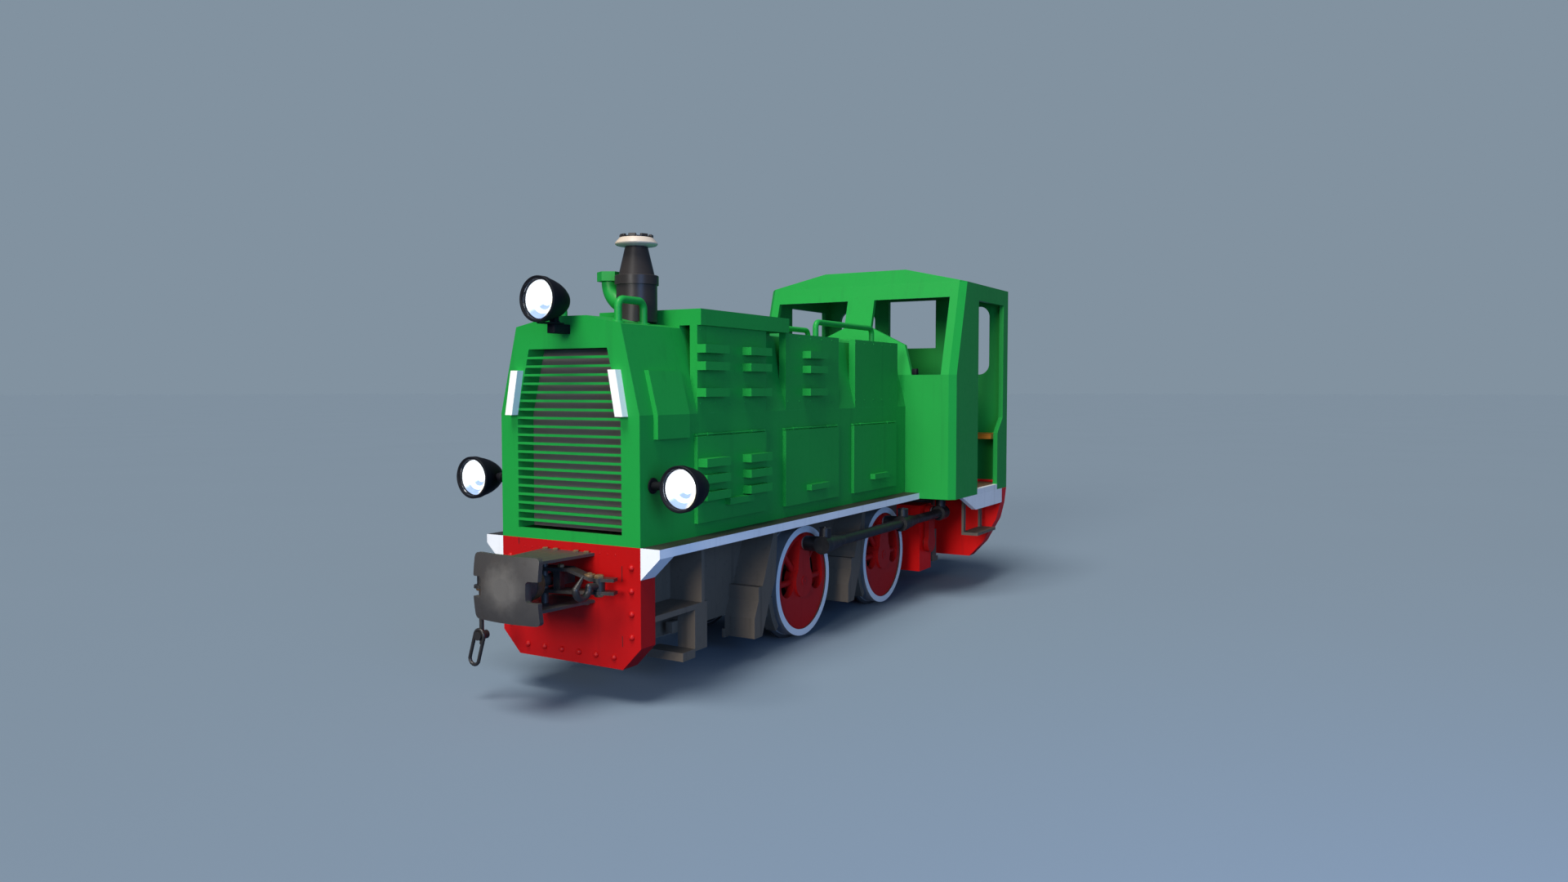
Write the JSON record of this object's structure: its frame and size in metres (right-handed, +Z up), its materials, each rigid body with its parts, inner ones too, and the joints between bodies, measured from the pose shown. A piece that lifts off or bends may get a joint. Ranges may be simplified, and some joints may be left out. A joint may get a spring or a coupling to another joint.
{
  "type": "diesel locomotive",
  "caption": "Small narrow-gauge diesel shunting locomotive with coupled wheels, side rods to a jackshaft, louvred hood and rear cab.",
  "frame": {"origin": "on the centre line, half way between the buffer faces, at the lowest point of the wheel flanges", "axes": "+X forwards to the grille, +Y to the left side, +Z up"},
  "size_m": [6.054, 1.888, 2.7979],
  "materials": {
    "green_paint": "satin",
    "red_paint": "satin",
    "white_paint": "satin",
    "black_paint": "matt",
    "dark_steel": "oiled",
    "tyre_steel": "painted white outside",
    "radiator_core": "matt",
    "engine_grey": "satin",
    "bench_wood": "varnished",
    "floor_plate": "worn",
    "desk_grey": "satin"
  },
  "bodies": {
    "frame": {"axleboxes": "black_paint", "brake_gear": "black_paint", "cab_bench": "bench_wood", "cab_floor": "floor_plate", "cab_front": "green_paint", "cab_left": "green_paint", "cab_rear": "green_paint", "cab_right": "green_paint", "cab_roof": "green_paint", "control_desk": "desk_grey", "door_sills": "white_paint", "engine_block": "engine_grey", "exhaust_stack": "black_paint", "final_drive": "red_paint", "front_beam": "red_paint", "front_draft_gear": "dark_steel", "front_steps": "black_paint", "grille_slats": "green_paint", "hand_rails": "green_paint", "headlamps": "black_paint", "hood": "green_paint", "intake_pipe": "green_paint", "main_frame": "black_paint", "marker_bars": "white_paint", "nose_panel": "green_paint", "radiator": "radiator_core", "raised_casing": "green_paint", "rear_beam": "red_paint", "rear_draft_gear": "dark_steel", "rear_hangers": "black_paint", "rear_steps": "black_paint", "running_boards": "white_paint", "sand_boxes": "black_paint", "upper_panels_left": "green_paint", "upper_panels_right": "green_paint"},
    "front_wheelset": {"front_wheelset": "red_paint", "front_tyres": "tyre_steel"},
    "rear_wheelset": {"rear_wheelset": "red_paint", "rear_tyres": "tyre_steel"},
    "jackshaft": {"jackshaft": "red_paint"},
    "rod_left": {"coupling_rod_left": "dark_steel"},
    "rod_right": {"coupling_rod_right": "dark_steel"},
    "front_lever": {"front_equaliser": "dark_steel", "front_hook_and_chain": "dark_steel"},
    "rear_lever": {"rear_equaliser": "dark_steel", "rear_hook_and_chain": "dark_steel"},
    "door_left_1": {"hood_door_left_1": "green_paint"},
    "door_right_1": {"hood_door_right_1": "green_paint"},
    "door_left_2": {"hood_door_left_2": "green_paint"},
    "door_right_2": {"hood_door_right_2": "green_paint"},
    "door_left_3": {"hood_door_left_3": "green_paint"},
    "door_right_3": {"hood_door_right_3": "green_paint"}
  },
  "joints": [
    {"name": "front_axle_spin", "type": "hinge", "parent": "frame", "child": "front_wheelset", "pos_m": [0.57, 0, 0.415], "axis": [0, 1, 0], "continuous": true},
    {"name": "rear_axle_spin", "type": "hinge", "parent": "frame", "child": "rear_wheelset", "pos_m": [-0.788, 0, 0.415], "axis": [0, 1, 0], "continuous": true},
    {"name": "jackshaft_spin", "type": "hinge", "parent": "frame", "child": "jackshaft", "pos_m": [-1.618, 0, 0.415], "axis": [0, 1, 0], "continuous": true},
    {"name": "rod_left_turn", "type": "hinge", "parent": "front_wheelset", "child": "rod_left", "pos_m": [0.57, 0.637, 0.684], "axis": [0, 1, 0], "continuous": true},
    {"name": "rod_right_turn", "type": "hinge", "parent": "front_wheelset", "child": "rod_right", "pos_m": [0.839, -0.637, 0.415], "axis": [0, 1, 0], "continuous": true},
    {"name": "door_left_1_open", "type": "hinge", "parent": "frame", "child": "door_left_1", "pos_m": [1.5885, 0.524, 1.501], "axis": [1, 0, 0], "range_deg": [0, 90]},
    {"name": "door_right_1_open", "type": "hinge", "parent": "frame", "child": "door_right_1", "pos_m": [1.5885, -0.524, 1.501], "axis": [-1, 0, 0], "range_deg": [0, 90]},
    {"name": "door_left_2_open", "type": "hinge", "parent": "frame", "child": "door_left_2", "pos_m": [0.5505, 0.524, 1.501], "axis": [1, 0, 0], "range_deg": [0, 90]},
    {"name": "door_right_2_open", "type": "hinge", "parent": "frame", "child": "door_right_2", "pos_m": [0.5505, -0.524, 1.501], "axis": [-1, 0, 0], "range_deg": [0, 90]},
    {"name": "door_left_3_open", "type": "hinge", "parent": "frame", "child": "door_left_3", "pos_m": [-0.4875, 0.524, 1.501], "axis": [1, 0, 0], "range_deg": [0, 90]},
    {"name": "door_right_3_open", "type": "hinge", "parent": "frame", "child": "door_right_3", "pos_m": [-0.4875, -0.524, 1.501], "axis": [-1, 0, 0], "range_deg": [0, 90]},
    {"name": "front_lever_swing", "type": "hinge", "parent": "frame", "child": "front_lever", "pos_m": [2.695, 0, 0.696], "axis": [0, 0, 1], "range_deg": [-30, 0]},
    {"name": "rear_lever_swing", "type": "hinge", "parent": "frame", "child": "rear_lever", "pos_m": [-2.695, 0, 0.696], "axis": [0, 0, 1], "range_deg": [-30, 0]}
  ],
  "couplings": [
    {"joint": "rear_axle_spin", "follows": "front_axle_spin", "ratio": 1},
    {"joint": "jackshaft_spin", "follows": "front_axle_spin", "ratio": 1},
    {"joint": "rod_left_turn", "follows": "front_axle_spin", "ratio": -1},
    {"joint": "rod_right_turn", "follows": "front_axle_spin", "ratio": -1}
  ]
}
